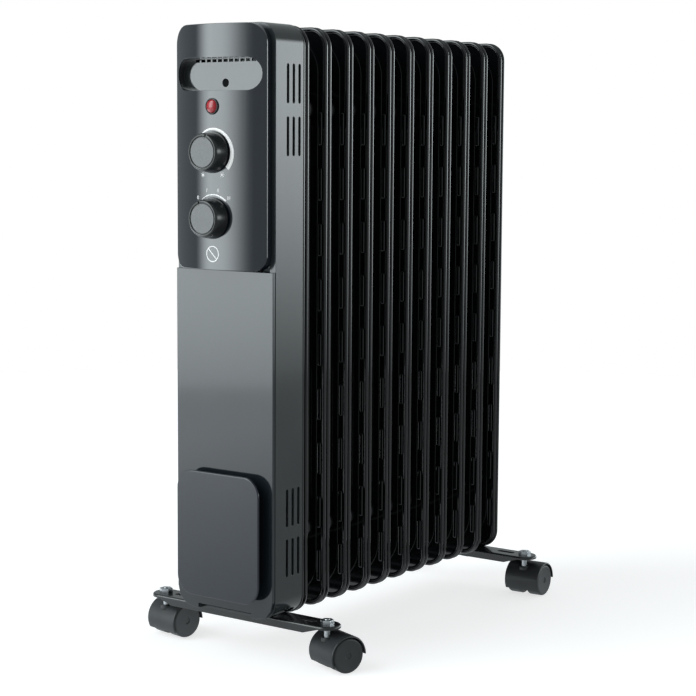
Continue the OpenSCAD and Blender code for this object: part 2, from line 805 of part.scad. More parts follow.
// Disc wheel: open towards the web, closed outside, with a small dimple in its face
module wheel(c, side) {
    color([0.05, 0.05, 0.055]) at_caster(c) translate([side * wheel_in, trail, wheel_r])
        rotate([0, side * 90, 0]) rotate_extrude() polygon([
            [axle_r + run_fit, 0], [5, 0], [5, wheel_w - 3], [wheel_r - 3, wheel_w - 3], [wheel_r - 3, 0],
            [wheel_r - 0.8, 0], [wheel_r, 0.8], [wheel_r, wheel_w - 1.5], [wheel_r - 1.5, wheel_w],
            [3.2, wheel_w], [2.2, wheel_w - 0.8], [0, wheel_w - 0.8], [0, wheel_w - 2.5],
            [axle_r + run_fit, wheel_w - 2.5]]);
}

for (i = [1 : fin_count]) fin(i);
header_rings();
header_caps();
heating_elements();
element_flange();
heat_shield();
control_housing();
lower_front_cover();
control_panel();
recess_tray();
lamp_bezel();
lamp_lens();
thermostat_body();
shaft(thermostat_z);  // thermostat_shaft
knob(thermostat_z, thermostat_turn);  // thermostat_knob
knob_cap(thermostat_z, thermostat_turn);  // thermostat_cap
selector_body();
shaft(selector_z);  // selector_shaft
knob(selector_z, selector_turn);  // selector_knob
knob_cap(selector_z, selector_turn);  // selector_cap
thermal_cutout();
terminal_block();
wiring();
tilt_switch_body();
tilt_pendulum();
cord_gland();
winder_neck();
winder_plate();
front_foot_bar();
rear_foot_bar();
front_bar_screws();
rear_bar_clamp();
caster_stems();
caster_nuts();
for (c = [0 : 3]) hood(c);
for (c = [0 : 3]) axle(c);
for (c = [0 : 3]) wheel(c, -stem_xs[c]);
for (c = [0 : 3]) wheel(c, stem_xs[c]);
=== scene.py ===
import json
import math

import bmesh
import bpy
from mathutils import Matrix, Vector


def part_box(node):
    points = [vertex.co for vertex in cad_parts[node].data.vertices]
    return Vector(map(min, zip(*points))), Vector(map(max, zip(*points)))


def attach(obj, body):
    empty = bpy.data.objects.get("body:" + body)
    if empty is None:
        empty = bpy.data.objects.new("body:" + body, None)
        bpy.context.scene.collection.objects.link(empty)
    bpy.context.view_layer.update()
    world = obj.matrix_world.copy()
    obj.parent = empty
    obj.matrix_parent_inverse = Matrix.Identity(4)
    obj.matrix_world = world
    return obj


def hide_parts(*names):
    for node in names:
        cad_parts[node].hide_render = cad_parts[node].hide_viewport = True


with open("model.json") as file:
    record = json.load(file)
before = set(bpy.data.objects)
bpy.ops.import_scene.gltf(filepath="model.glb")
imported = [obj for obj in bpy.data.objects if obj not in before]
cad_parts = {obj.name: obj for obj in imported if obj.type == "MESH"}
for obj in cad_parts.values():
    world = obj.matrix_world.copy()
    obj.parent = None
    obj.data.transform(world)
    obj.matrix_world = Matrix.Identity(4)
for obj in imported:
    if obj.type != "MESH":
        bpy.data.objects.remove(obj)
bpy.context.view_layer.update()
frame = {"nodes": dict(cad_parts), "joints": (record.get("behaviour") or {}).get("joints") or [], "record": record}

scene = bpy.context.scene
mm = 0.001
axisX, axisY, axisZ = 0, 1, 2
corners = ("front_right", "front_left", "rear_right", "rear_left")


# camera
cameraSetup = {"place": (1.1289, -1.5532, 0.5101), "azimuth": 36.01, "pitch": -6.41, "roll": 0.34, "lens": 93.4}
cameraData = bpy.data.cameras.new("viewCamera")
cameraData.lens = cameraSetup["lens"]
cameraData.sensor_width = 36
camera = bpy.data.objects.new("viewCamera", cameraData)
scene.collection.objects.link(camera)
camera.matrix_world = (
    Matrix.Translation(cameraSetup["place"])
    @ Matrix.Rotation(math.radians(cameraSetup["azimuth"]), 4, "Z")
    @ Matrix.Rotation(math.radians(90 + cameraSetup["pitch"]), 4, "X")
    @ Matrix.Rotation(math.radians(cameraSetup["roll"]), 4, "Z")
)
scene.camera = camera

# light: a white room with soft glowing walls, each told by its middle azimuth from -Y towards +X
studio = {"floorSeen": (0.6, 0.6, 0.6), "floorGlow": (0.68, 0.68, 0.68), "floorDark": (0.34, 0.365, 0.37),
          "floorLight": (1.80, 1.92, 2.0), "floorRadius": 2.2, "roomColour": (0.90, 0.98, 1.0), "roomLevel": 0.36}
# name: middle azimuth, start and end of the rise and of the fall in turn and in height, level
glows = {
    "frontLeft": (-46, (-16, 4, 14, 49), (-0.25, -0.05, 0.75, 0.95), 4.1),
    "rearRight": (146, (-50, -28, 30, 60), (-0.16, 0.05, 0.1, 0.32), 4.0),
}
world = bpy.data.worlds.new("studioWorld")
scene.world = world
world.use_nodes = True
room = world.node_tree
room.nodes.clear()


def roomMath(operation, first, second):
    node = room.nodes.new("ShaderNodeMath")
    node.operation = operation
    for place, value in enumerate((first, second)):
        if isinstance(value, (int, float)):
            node.inputs[place].default_value = value
        else:
            room.links.new(value, node.inputs[place])
    return node.outputs["Value"]


def roomDot(source, direction):
    node = room.nodes.new("ShaderNodeVectorMath")
    node.operation = "DOT_PRODUCT"
    node.inputs[1].default_value = direction
    room.links.new(source, node.inputs[0])
    return node.outputs["Value"]


def roomStep(source, start, end):
    node = room.nodes.new("ShaderNodeMapRange")
    node.interpolation_type = "SMOOTHSTEP"
    node.inputs["From Min"].default_value, node.inputs["From Max"].default_value = start, end
    room.links.new(source, node.inputs["Value"])
    return node.outputs["Result"]


# rises from the first to the second value and falls from the third to the fourth
def roomBand(source, ends):
    rise, fall = roomStep(source, ends[0], ends[1]), roomStep(source, ends[2], ends[3])
    return roomMath("MULTIPLY", rise, roomMath("SUBTRACT", 1, fall))


gaze = room.nodes.new("ShaderNodeTexCoord").outputs["Generated"]
level = studio["roomLevel"]
for middle, turnEnds, liftEnds, glow in glows.values():
    facingIt = math.radians(middle)
    ahead = roomDot(gaze, (math.sin(facingIt), -math.cos(facingIt), 0))
    aside = roomDot(gaze, (math.cos(facingIt), math.sin(facingIt), 0))
    turn = roomMath("ARCTAN2", aside, ahead)
    band = roomMath("MULTIPLY", roomBand(turn, [math.radians(end) for end in turnEnds]),
                    roomBand(roomDot(gaze, (0, 0, 1)), liftEnds))
    level = roomMath("ADD", roomMath("MULTIPLY", band, glow), level)
seen, light = room.nodes.new("ShaderNodeBackground"), room.nodes.new("ShaderNodeBackground")
light.inputs["Color"].default_value = (*studio["roomColour"], 1)
room.links.new(level, light.inputs["Strength"])
seen.inputs["Color"].default_value = (1, 1, 1, 1)
choice = room.nodes.new("ShaderNodeMixShader")
room.links.new(room.nodes.new("ShaderNodeLightPath").outputs["Is Camera Ray"], choice.inputs["Fac"])
room.links.new(light.outputs["Background"], choice.inputs[1])
room.links.new(seen.outputs["Background"], choice.inputs[2])
room.links.new(choice.outputs["Shader"], room.nodes.new("ShaderNodeOutputWorld").inputs["Surface"])

# the floor's own look is seen straight on; mirrored in the heater it is darker to the right
floorMaterial = bpy.data.materials.new("paleFloor")
floorMaterial.use_nodes = True
floorNodes, floorLinks = floorMaterial.node_tree.nodes, floorMaterial.node_tree.links
floorShader = floorNodes["Principled BSDF"]
floorShader.inputs["Roughness"].default_value = 0.85
floorShader.inputs["Specular IOR Level"].default_value = 0
floorShader.inputs["Emission Strength"].default_value = 1
floorPlace = floorNodes.new("ShaderNodeSeparateXYZ")
floorLinks.new(floorNodes.new("ShaderNodeTexCoord").outputs["Object"], floorPlace.inputs["Vector"])
floorFade = floorNodes.new("ShaderNodeMapRange")
floorFade.inputs["From Min"].default_value, floorFade.inputs["From Max"].default_value = 0.25, -0.9
floorLinks.new(floorPlace.outputs["X"], floorFade.inputs["Value"])
floorSight = floorNodes.new("ShaderNodeLightPath").outputs["Is Camera Ray"]


def floorMix(factor, first, second, target):
    node = floorNodes.new("ShaderNodeMix")
    node.data_type = "RGBA"
    for key, value in (("A", first), ("B", second)):
        if isinstance(value, tuple):
            node.inputs[key].default_value = (*value, 1)
        else:
            floorLinks.new(value, node.inputs[key])
    floorLinks.new(factor, node.inputs["Factor"])
    if target:
        floorLinks.new(node.outputs["Result"], floorShader.inputs[target])
    return node.outputs["Result"]


floorTone = floorMix(floorFade.outputs["Result"], studio["floorDark"], studio["floorLight"], None)
floorMix(floorSight, floorTone, studio["floorGlow"], "Emission Color")
floorMix(floorSight, (0.0, 0.0, 0.0), studio["floorSeen"], "Base Color")
floorMesh = bpy.data.meshes.new("floor")
floorShape = bmesh.new()
bmesh.ops.create_circle(floorShape, cap_ends=True, segments=96, radius=studio["floorRadius"])
floorShape.to_mesh(floorMesh)
floorShape.free()
floorMesh.materials.append(floorMaterial)
floor = bpy.data.objects.new("floor", floorMesh)
scene.collection.objects.link(floor)
scene.view_settings.view_transform = "Standard"
print("stage set")


# finishes, one for each material slot of the record:
# colour and second colour, roughness from and to, grain size and depth in metres, mottle size in metres; a glow is
# painted light, the white print lit from within so it looks brighter than the lamps make it
finishes = {
    "fin_enamel": {"colour": (0.0035, 0.0038, 0.0045), "second": (0.005, 0.0055, 0.0065), "rough": (0.06, 0.10),
                   "coat": 0.5, "grain": 14 * mm, "depth": 0.004 * mm, "mottle": 0.06},
    "bar_enamel": {"colour": (0.012, 0.013, 0.014), "second": (0.018, 0.019, 0.02), "rough": (0.16, 0.24),
                   "coat": 0.4, "grain": 3 * mm, "depth": 0.01 * mm, "mottle": 0.04},
    "element_sheath": {"colour": (0.30, 0.19, 0.13), "second": (0.16, 0.11, 0.09), "rough": (0.3, 0.5),
                       "metal": 1, "grain": 0.8 * mm, "depth": 0.01 * mm, "mottle": 0.02},
    "brass": {"colour": (0.58, 0.42, 0.17), "second": (0.42, 0.30, 0.13), "rough": (0.25, 0.4),
              "metal": 1, "grain": 0.5 * mm, "depth": 0.01 * mm, "mottle": 0.01},
    "galvanised_steel": {"colour": (0.50, 0.51, 0.52), "second": (0.36, 0.38, 0.40), "rough": (0.35, 0.55),
                         "metal": 1, "grain": 1.5 * mm, "depth": 0.01 * mm, "mottle": 0.012, "spangle": True},
    "housing_plastic": {"colour": (0.018, 0.023, 0.025), "second": (0.022, 0.027, 0.029), "rough": (0.15, 0.19),
                        "coat": 0.35, "grain": 1.6 * mm, "depth": 0.002 * mm, "mottle": 0.1},
    "cover_plastic": {"colour": (0.010, 0.014, 0.018), "second": (0.012, 0.016, 0.020), "rough": (0.08, 0.11),
                      "coat": 0.5, "grain": 9 * mm, "depth": 0.0015 * mm, "mottle": 0.1},
    "panel_gloss": {"colour": (0.010, 0.014, 0.020), "second": (0.012, 0.016, 0.022), "rough": (0.06, 0.10),
                    "coat": 0.9, "grain": 9 * mm, "depth": 0.0006 * mm, "mottle": 0.06},
    "recess_plastic": {"colour": (0.022, 0.026, 0.028), "second": (0.026, 0.03, 0.032), "rough": (0.10, 0.14),
                       "coat": 0.8, "grain": 1.6 * mm, "depth": 0.004 * mm, "mottle": 0.03},
    "trim_black": {"colour": (0.010, 0.010, 0.011), "second": (0.016, 0.016, 0.017), "rough": (0.22, 0.32),
                   "grain": 0.6 * mm, "depth": 0.01 * mm, "mottle": 0.01},
    "lamp_red": {"colour": (0.42, 0.012, 0.02), "second": (0.34, 0.008, 0.014), "rough": (0.10, 0.16),
                 "coat": 0.5, "grain": 1.2 * mm, "depth": 0.01 * mm, "mottle": 0.004},
    "switch_ceramic": {"colour": (0.72, 0.68, 0.58), "second": (0.62, 0.58, 0.50), "rough": (0.5, 0.65),
                       "grain": 0.6 * mm, "depth": 0.03 * mm, "mottle": 0.01},
    "switch_plastic": {"colour": (0.03, 0.03, 0.033), "second": (0.045, 0.045, 0.048), "rough": (0.35, 0.5),
                       "grain": 0.4 * mm, "depth": 0.02 * mm, "mottle": 0.01},
    "terminal_nylon": {"colour": (0.75, 0.74, 0.70), "second": (0.66, 0.65, 0.61), "rough": (0.35, 0.5),
                       "grain": 0.5 * mm, "depth": 0.02 * mm, "mottle": 0.01},
    "wire_insulation": {"colour": (0.42, 0.03, 0.025), "second": (0.32, 0.02, 0.02), "rough": (0.3, 0.45),
                        "grain": 0.8 * mm, "depth": 0.02 * mm, "mottle": 0.01},
    "zinc": {"colour": (0.62, 0.64, 0.66), "second": (0.46, 0.49, 0.52), "rough": (0.22, 0.38),
             "metal": 1, "grain": 0.5 * mm, "depth": 0.02 * mm, "mottle": 0.006},
    "winder_plastic": {"colour": (0.012, 0.016, 0.023), "second": (0.015, 0.019, 0.027), "rough": (0.16, 0.20),
                       "coat": 0.3, "grain": 1.6 * mm, "depth": 0.002 * mm, "mottle": 0.07},
    "knob_plastic": {"colour": (0.010, 0.012, 0.013), "second": (0.014, 0.016, 0.017), "rough": (0.18, 0.26),
                     "coat": 0.3, "grain": 0.8 * mm, "depth": 0.006 * mm, "mottle": 0.012},
    "knob_cap_grey": {"colour": (0.03, 0.034, 0.036), "second": (0.036, 0.04, 0.042), "rough": (0.24, 0.30),
                      "coat": 0.5, "grain": 0.8 * mm, "depth": 0.001 * mm, "mottle": 0.01},
    "caster_nylon": {"colour": (0.022, 0.024, 0.026), "second": (0.030, 0.032, 0.034), "rough": (0.34, 0.44),
                     "grain": 0.8 * mm, "depth": 0.02 * mm, "mottle": 0.02},
    # the print's glow is painted light: the white marks shine by themselves, though they are no lamp
    "print_white": {"colour": (0.86, 0.87, 0.87), "second": (0.80, 0.81, 0.81), "rough": (0.4, 0.55),
                    "glow": 0.3, "grain": 0.3 * mm, "depth": 0.004 * mm, "mottle": 0.004},
}


def makeFinish(name, look):
    material = bpy.data.materials.new(name)
    material.use_nodes = True
    nodes, links = material.node_tree.nodes, material.node_tree.links
    shader = nodes["Principled BSDF"]
    place = nodes.new("ShaderNodeTexCoord")

    def pattern(kind, size, detail=3):
        texture = nodes.new(kind)
        texture.inputs["Scale"].default_value = 1 / size
        if "Detail" in texture.inputs:
            texture.inputs["Detail"].default_value = detail
        links.new(place.outputs["Object"], texture.inputs["Vector"])
        return texture.outputs["Distance" if kind == "ShaderNodeTexVoronoi" else "Fac"]

    def spread(source, low, high, fromLow=0.3, fromHigh=0.7):
        stretch = nodes.new("ShaderNodeMapRange")
        for key, value in zip(("From Min", "From Max", "To Min", "To Max"), (fromLow, fromHigh, low, high)):
            stretch.inputs[key].default_value = value
        links.new(source, stretch.inputs["Value"])
        return stretch.outputs["Result"]

    blotch = pattern("ShaderNodeTexVoronoi" if look.get("spangle") else "ShaderNodeTexNoise", look["mottle"])
    tone = nodes.new("ShaderNodeMix")
    tone.data_type = "RGBA"
    tone.inputs["A"].default_value = (*look["colour"], 1)
    tone.inputs["B"].default_value = (*look["second"], 1)
    links.new(spread(blotch, 0, 1), tone.inputs["Factor"])
    links.new(tone.outputs["Result"], shader.inputs["Base Color"])
    smudge = pattern("ShaderNodeTexNoise", look["mottle"] * 0.6, 5)
    links.new(spread(smudge, *look["rough"]), shader.inputs["Roughness"])
    grain = nodes.new("ShaderNodeBump")
    grain.inputs["Distance"].default_value = look["depth"]
    links.new(pattern("ShaderNodeTexNoise", look["grain"], 2), grain.inputs["Height"])
    links.new(grain.outputs["Normal"], shader.inputs["Normal"])
    shader.inputs["Metallic"].default_value = look.get("metal", 0)
    shader.inputs["Coat Weight"].default_value = look.get("coat", 0)
    shader.inputs["Coat Roughness"].default_value = 0.06
    shader.inputs["Emission Color"].default_value = (1, 1, 1, 1)
    # a glow is painted light: the surface emits so it looks brighter than the lamps light it
    shader.inputs["Emission Strength"].default_value = look.get("glow", 0)
    return material


materials = {name: makeFinish(name, look) for name, look in finishes.items()}
for part in frame["record"]["subparts"]:
    shell = frame["nodes"][part["node"]]
    shell.data.materials.clear()
    shell.data.materials.append(materials[part["material_slot"]])
print("finishes made:", len(materials))


# modelling helpers, all on bmesh operators
def middleOf(edge):
    return (edge.verts[0].co + edge.verts[1].co) / 2


def edgesAlong(bm, axis, keep=lambda middle: True):
    found = []
    for edge in bm.edges:
        run = edge.verts[1].co - edge.verts[0].co
        if run.length > 0 and abs(run[axis]) > 0.999 * run.length and keep(middleOf(edge)):
            found.append(edge)
    return found


def facing(bm, direction, limit=0.999):
    bm.normal_update()
    return [face for face in bm.faces if face.normal.dot(Vector(direction)) > limit]


def rimOf(faces):
    inside = set(faces)
    return [e for e in {e for f in faces for e in f.edges} if sum(f in inside for f in e.link_faces) == 1]


def roundEdges(bm, edges, radius, steps):
    bmesh.ops.bevel(bm, geom=edges, offset=radius, offset_type="OFFSET", segments=steps, profile=0.5,
                    affect="EDGES", clamp_overlap=True, material=-1)


def block(low, high):
    bm = bmesh.new()
    low, high = Vector(low), Vector(high)
    bmesh.ops.create_cube(bm, size=1)
    bmesh.ops.scale(bm, vec=high - low, verts=bm.verts)
    bmesh.ops.translate(bm, vec=(low + high) / 2, verts=bm.verts)
    return bm


def plate(low, high, radius, steps=10, lowRadius=None):
    bm = block(low, high)
    split = (low[2] + high[2]) / 2
    roundEdges(bm, edgesAlong(bm, axisY, lambda p: p.z > split), radius, steps)
    roundEdges(bm, edgesAlong(bm, axisY, lambda p: p.z < split), lowRadius or radius, steps)
    return bm


def rod(radius, start, end, steps=48):
    start, end = Vector(start), Vector(end)
    bm = bmesh.new()
    turn = (end - start).to_track_quat("Z", "Y").to_matrix().to_4x4()
    bmesh.ops.create_cone(bm, cap_ends=True, segments=steps, radius1=radius, radius2=radius,
                          depth=(end - start).length, matrix=Matrix.Translation((start + end) / 2) @ turn)
    return bm


# a profile of (radius, distance) pairs turned about +Y; it starts and ends on the axis or closes on itself
def turned(profile, steps=72, closed=False):
    bm = bmesh.new()
    points = [bm.verts.new((radius, along, 0)) for radius, along in profile]
    pairs = list(zip(points, points[1:])) + ([(points[-1], points[0])] if closed else [])
    lines = [bm.edges.new(pair) for pair in pairs]
    bmesh.ops.spin(bm, geom=points + lines, cent=(0, 0, 0), axis=(0, 1, 0), dvec=(0, 0, 0),
                   angle=2 * math.pi, steps=steps, use_merge=True, use_duplicate=False)
    bmesh.ops.remove_doubles(bm, verts=bm.verts, dist=0.001 * mm)
    bmesh.ops.recalc_face_normals(bm, faces=bm.faces)
    return bm


def moved(bm, offset=(0, 0, 0), matrix=None):
    bmesh.ops.transform(bm, matrix=matrix or Matrix.Translation(offset), verts=bm.verts)
    return bm


def joined(*shapes):
    whole = bmesh.new()
    for shape in shapes:
        mesh = bpy.data.meshes.new("shape")
        shape.to_mesh(mesh)
        shape.free()
        whole.from_mesh(mesh)
        bpy.data.meshes.remove(mesh)
    return whole


def carved(bm, tool, operation="DIFFERENCE"):
    pair = []
    for shape in (bm, tool):
        bmesh.ops.recalc_face_normals(shape, faces=shape.faces)
        mesh = bpy.data.meshes.new("shape")
        shape.to_mesh(mesh)
        shape.free()
        pair.append(bpy.data.objects.new("shape", mesh))
        scene.collection.objects.link(pair[-1])
    cut = pair[0].modifiers.new("cut", "BOOLEAN")
    cut.operation, cut.solver, cut.object = operation, "EXACT", pair[1]
    bpy.context.view_layer.update()
    result = bmesh.new()
    result.from_object(pair[0], bpy.context.evaluated_depsgraph_get())
    for shape in pair:
        bpy.data.meshes.remove(shape.data)
    return result


def makePiece(name, bm, body, slot, stands=(), soften=0, smooth=35, flip=True):
    bmesh.ops.remove_doubles(bm, verts=bm.verts, dist=0.002 * mm)
    if flip:
        bmesh.ops.recalc_face_normals(bm, faces=bm.faces)
    mesh = bpy.data.meshes.new(name)
    bm.to_mesh(mesh)
    bm.free()
    mesh.shade_smooth()
    mesh.set_sharp_from_angle(angle=math.radians(smooth))
    mesh.materials.append(materials[slot])
    piece = bpy.data.objects.new(name, mesh)
    scene.collection.objects.link(piece)
    if soften:
        bevel = piece.modifiers.new("softEdges", "BEVEL")
        bevel.width, bevel.segments, bevel.limit_method = soften, 2, "ANGLE"
        bevel.angle_limit = math.radians(40)
    if slot != "print_white":
        flat = piece.modifiers.new("faceNormals", "WEIGHTED_NORMAL")
        flat.keep_sharp, flat.weight = True, 90
    if stands:
        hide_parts(*stands)
    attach(piece, body)
    return piece


# a CAD node's own shape, merged from its loose triangles, with its sharp edges softened
def softCopy(node, body, slot, width):
    bm = bmesh.new()
    bm.from_mesh(frame["nodes"][node].data)
    bmesh.ops.remove_doubles(bm, verts=bm.verts, dist=0.002 * mm)
    bmesh.ops.dissolve_limit(bm, angle_limit=math.radians(0.5), verts=bm.verts, edges=bm.edges)
    return makePiece(node + ".soft", bm, body, slot, (node,), width, flip=False)


# fins
finSizes = {
    "cornerRadius": 21 * mm,
    "crownPlace": 3 * mm,
    # inset and rise of each bend, in millimetres, from the crown of the curled edge inwards
    "frontBends": ((0.15, 0.77), (0.45, 0.64), (0.65, 0.44), (0.75, 0.15), (0.8, -0.15), (0.7, -0.5), (0.4, -0.6),
                   (0.35, -1.0), (0.3, -0.7), (0.4, -0.1), (0.3, 0.3), (0.4, 0.35)),
    "backBends": ((0.15, 0.77), (0.45, 0.64), (0.65, 0.44), (0.75, 0.15), (1.6, 0), (0.3, 0.3), (0.1, 0.7)),
    "bedWidth": 100 * mm,
    "bedInset": 9 * mm,
    "bedRadius": 36 * mm,
    "bedReach": 3.4 * mm,
    "bedRound": 0.5 * mm,
    "channelWidth": 20 * mm,
    "channelGap": 31 * mm,
    "channelReach": 5 * mm,
    "channelRound": 2.2 * mm,
    "headerWidth": 88 * mm,
    "headerHeight": 42 * mm,
    "headerInset": 80 * mm,
    "headerReach": 8 * mm,
    "headerRound": 4.4 * mm,
    "ribWidth": 4.6 * mm,
    "ribLength": 32 * mm,
    "ribReach": 5.2 * mm,
    "ribRound": 1.5 * mm,
    "ribPlace": 54.2 * mm,
    "ribFirst": 43 * mm,
    "ribPitch": 54.75 * mm,
    "ribCount": 9,
    "root": 1.0 * mm,
}


# a flat sheet whose middle is bent step by step
def bentSheet(sheet, direction, bends):
    middle = facing(sheet, direction)
    for inset, rise in bends:
        bmesh.ops.inset_region(sheet, faces=middle, thickness=inset * mm, depth=rise * mm, use_even_offset=True)
    return middle


# the front half of a fin around y = 0, pressed from one sheet; its mirror image closes the seam
def finShape(low, high):
    size = finSizes
    root = -size["root"]
    crown = -size["crownPlace"]
    sheet = block((low.x, crown - 0.01 * mm, low.z), (high.x, crown + 0.01 * mm, high.z))
    roundEdges(sheet, edgesAlong(sheet, axisY), size["cornerRadius"], 12)
    bentSheet(sheet, (0, -1, 0), size["frontBends"])
    seam = bentSheet(sheet, (0, 1, 0), size["backBends"])
    bmesh.ops.delete(sheet, geom=seam, context="FACES")
    inset = size["bedInset"]
    bed = plate((-size["bedWidth"] / 2, -size["bedReach"], low.z + inset),
                (size["bedWidth"] / 2, root, high.z - inset), size["bedRadius"], 12)
    roundEdges(bed, rimOf(facing(bed, (0, -1, 0))), size["bedRound"], 3)
    shapes = [sheet, bed]
    headers = (low.z + size["headerInset"], high.z - size["headerInset"])
    for side in (-1, 0, 1):
        middle, wide = side * size["channelGap"], size["channelWidth"] / 2
        channel = block((middle - wide, -size["channelReach"], headers[0]), (middle + wide, root, headers[1]))
        roundEdges(channel, edgesAlong(channel, axisZ, lambda p: p.y < root), size["channelRound"], 5)
        shapes.append(channel)
    for height in headers:
        pad = rod(size["headerHeight"] / 2, (0, -size["headerReach"], height), (0, root, height), 64)
        bmesh.ops.scale(pad, vec=(size["headerWidth"] / size["headerHeight"], 1, 1), verts=pad.verts)
        roundEdges(pad, rimOf(facing(pad, (0, -1, 0))), size["headerRound"], 6)
        shapes.append(pad)
    for side in (-1, 1):
        middle, wide = side * size["ribPlace"], size["ribWidth"] / 2
        for count in range(size["ribCount"]):
            base = low.z + size["ribFirst"] - size["ribLength"] / 2 + count * size["ribPitch"]
            rib = plate((middle - wide, -size["ribReach"], base), (middle + wide, root, base + size["ribLength"]),
                        wide * 0.6, 4)
            roundEdges(rib, rimOf(facing(rib, (0, -1, 0))), size["ribRound"], 4)
            shapes.append(rib)
    whole = joined(*shapes)
    bmesh.ops.mirror(whole, geom=whole.verts[:] + whole.edges[:] + whole.faces[:], matrix=Matrix.Identity(4),
                     merge_dist=0.01 * mm, axis="Y")
    return whole


finNodes = sorted(node for node in frame["nodes"] if node.startswith("fin_"))
for node in finNodes:
    finLow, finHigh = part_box(node)
    makePiece(node + ".pressed", moved(finShape(finLow, finHigh), (0, (finLow.y + finHigh.y) / 2, 0)),
              "heater", "fin_enamel", (node,), smooth=40)
print("fins pressed:", len(finNodes))


# control box
boxSizes = {
    "cornerRadius": 20 * mm,
    "wall": 2.2 * mm,
    "frontLip": 7.2 * mm,
    "lipDepth": 2 * mm,
    "ventRows": (41.7 * mm, 91.4 * mm, 452.4 * mm, 502.5 * mm),
    "ventLength": 37.5 * mm,
    "ventWidth": 3.5 * mm,
    "ventPitch": 9 * mm,
    "ventBack": 24.2 * mm,
    "archFront": 5.5 * mm,
    "archLength": 32 * mm,
    "archHeight": 8 * mm,
    "archRadius": 4 * mm,
    "archWidth": 18 * mm,
    "toeWidth": 68 * mm,
    "toeDepth": 5 * mm,
    "toeHeight": 5 * mm,
    "edge": 0.5 * mm,
}
boxLow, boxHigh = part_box("control_housing")


def housingShape():
    size = boxSizes
    wall, lip = size["wall"], size["frontLip"]
    shell = plate(boxLow, boxHigh, size["cornerRadius"], 12)
    hollow = plate((boxLow.x + wall, boxLow.y + size["lipDepth"], boxLow.z + wall),
                   (boxHigh.x - wall, boxHigh.y + 0.01, boxHigh.z - wall), size["cornerRadius"] - wall, 12)
    shell = carved(shell, hollow)
    mouth = plate((boxLow.x + lip, boxLow.y - 0.01, boxLow.z + lip),
                  (boxHigh.x - lip, boxLow.y + 0.01, boxHigh.z - lip), size["cornerRadius"] - lip, 12)
    shell = carved(shell, mouth)
    tools = []
    for row in size["ventRows"]:
        for count in range(3):
            middle = boxHigh.y - size["ventBack"] + count * size["ventPitch"]
            base = boxLow.z + row
            slot = block((boxLow.x - 0.01, middle - size["ventWidth"] / 2, base),
                         (boxHigh.x + 0.01, middle + size["ventWidth"] / 2, base + size["ventLength"]))
            roundEdges(slot, edgesAlong(slot, axisX), size["ventWidth"] / 2 * 0.98, 6)
            tools.append(slot)
    for side in (-1, 1):
        middle = side * (boxHigh.x - 7.4 * mm)
        arch = block((middle - size["archWidth"] / 2, boxLow.y + size["archFront"], boxLow.z - 0.01),
                     (middle + size["archWidth"] / 2, boxLow.y + size["archFront"] + size["archLength"],
                      boxLow.z + size["archHeight"]))
        roundEdges(arch, edgesAlong(arch, axisX, lambda p: p.z > boxLow.z), size["archRadius"], 6)
        tools.append(arch)
    tools.append(block((-size["toeWidth"] / 2, boxLow.y - 0.01, boxLow.z - 0.01),
                       (size["toeWidth"] / 2, boxLow.y + size["toeDepth"], boxLow.z + size["toeHeight"])))
    return carved(shell, joined(*tools))


makePiece("controlHousing", housingShape(), "heater", "housing_plastic", ("control_housing",), boxSizes["edge"])

coverSizes = {"lowRadius": 20 * mm, "topRadius": 0.6 * mm, "frontRound": 3.3 * mm, "notchWidth": 68 * mm,
              "notchHeight": 5 * mm, "edge": 0.3 * mm}
coverLow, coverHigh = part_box("lower_front_cover")


def coverShape():
    size = coverSizes
    cover = plate(coverLow, coverHigh, size["topRadius"], 3, size["lowRadius"])
    roundEdges(cover, rimOf(facing(cover, (0, -1, 0))), size["frontRound"], 7)
    notch = block((-size["notchWidth"] / 2, coverLow.y - 0.01, coverLow.z - 0.01),
                  (size["notchWidth"] / 2, coverHigh.y + 0.01, coverLow.z + size["notchHeight"]))
    return carved(cover, notch)


makePiece("lowerFrontCover", coverShape(), "heater", "cover_plastic", ("lower_front_cover",), coverSizes["edge"])

panelSizes = {
    "bowRadius": 127 * mm,
    "topRadius": 19 * mm,
    "lowRadius": 14 * mm,
    "wall": 2.5 * mm,
    "edgeRound": 1.3 * mm,
    "bowSteps": 36,
    "recessDrop": 47.6 * mm,
    "recessWidth": 104.5 * mm,
    "recessHeight": 31.2 * mm,
    "lampHole": 7 * mm,
    "shaftHole": 4 * mm,
    "edge": 0.6 * mm,
}
panelLow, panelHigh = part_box("control_panel")
recessHeight = panelHigh.z - panelSizes["recessDrop"]
lampHeight = sum(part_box("lamp_lens"), Vector()).z / 2
thermostatHeight = sum(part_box("thermostat_cap"), Vector()).z / 2
selectorHeight = sum(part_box("selector_cap"), Vector()).z / 2


# the panel's front surface, bowed in plan
def bowAt(x, inset=0):
    radius = panelSizes["bowRadius"]
    return panelLow.y + radius - math.sqrt((radius - inset) ** 2 - x * x)


def bowedSlab(inset, back, edgeRound):
    size = panelSizes
    low = (panelLow.x + inset, panelLow.y, panelLow.z + inset)
    high = (panelHigh.x - inset, back, panelHigh.z - inset)
    slab = plate(low, high, size["topRadius"] - inset, 10, size["lowRadius"] - inset)
    width = panelHigh.x - panelLow.x
    for count in range(1, size["bowSteps"]):
        cutAt = panelLow.x + width * count / size["bowSteps"]
        if low[0] + mm < cutAt < high[0] - mm:
            bmesh.ops.bisect_plane(slab, geom=slab.verts[:] + slab.edges[:] + slab.faces[:], dist=0.001 * mm,
                                   plane_co=(cutAt, 0, 0), plane_no=(1, 0, 0))
    for vert in slab.verts:
        if vert.co.y < (panelLow.y + back) / 2:
            vert.co.y = bowAt(vert.co.x, inset)
    if edgeRound:
        roundEdges(slab, rimOf(facing(slab, (0, -1, 0), 0.5)), edgeRound, 4)
    return slab


def lyingStadium(width, height, front, back, middle):
    return plate((-width / 2, front, middle - height / 2), (width / 2, back, middle + height / 2),
                 height / 2 * 0.98, 12)


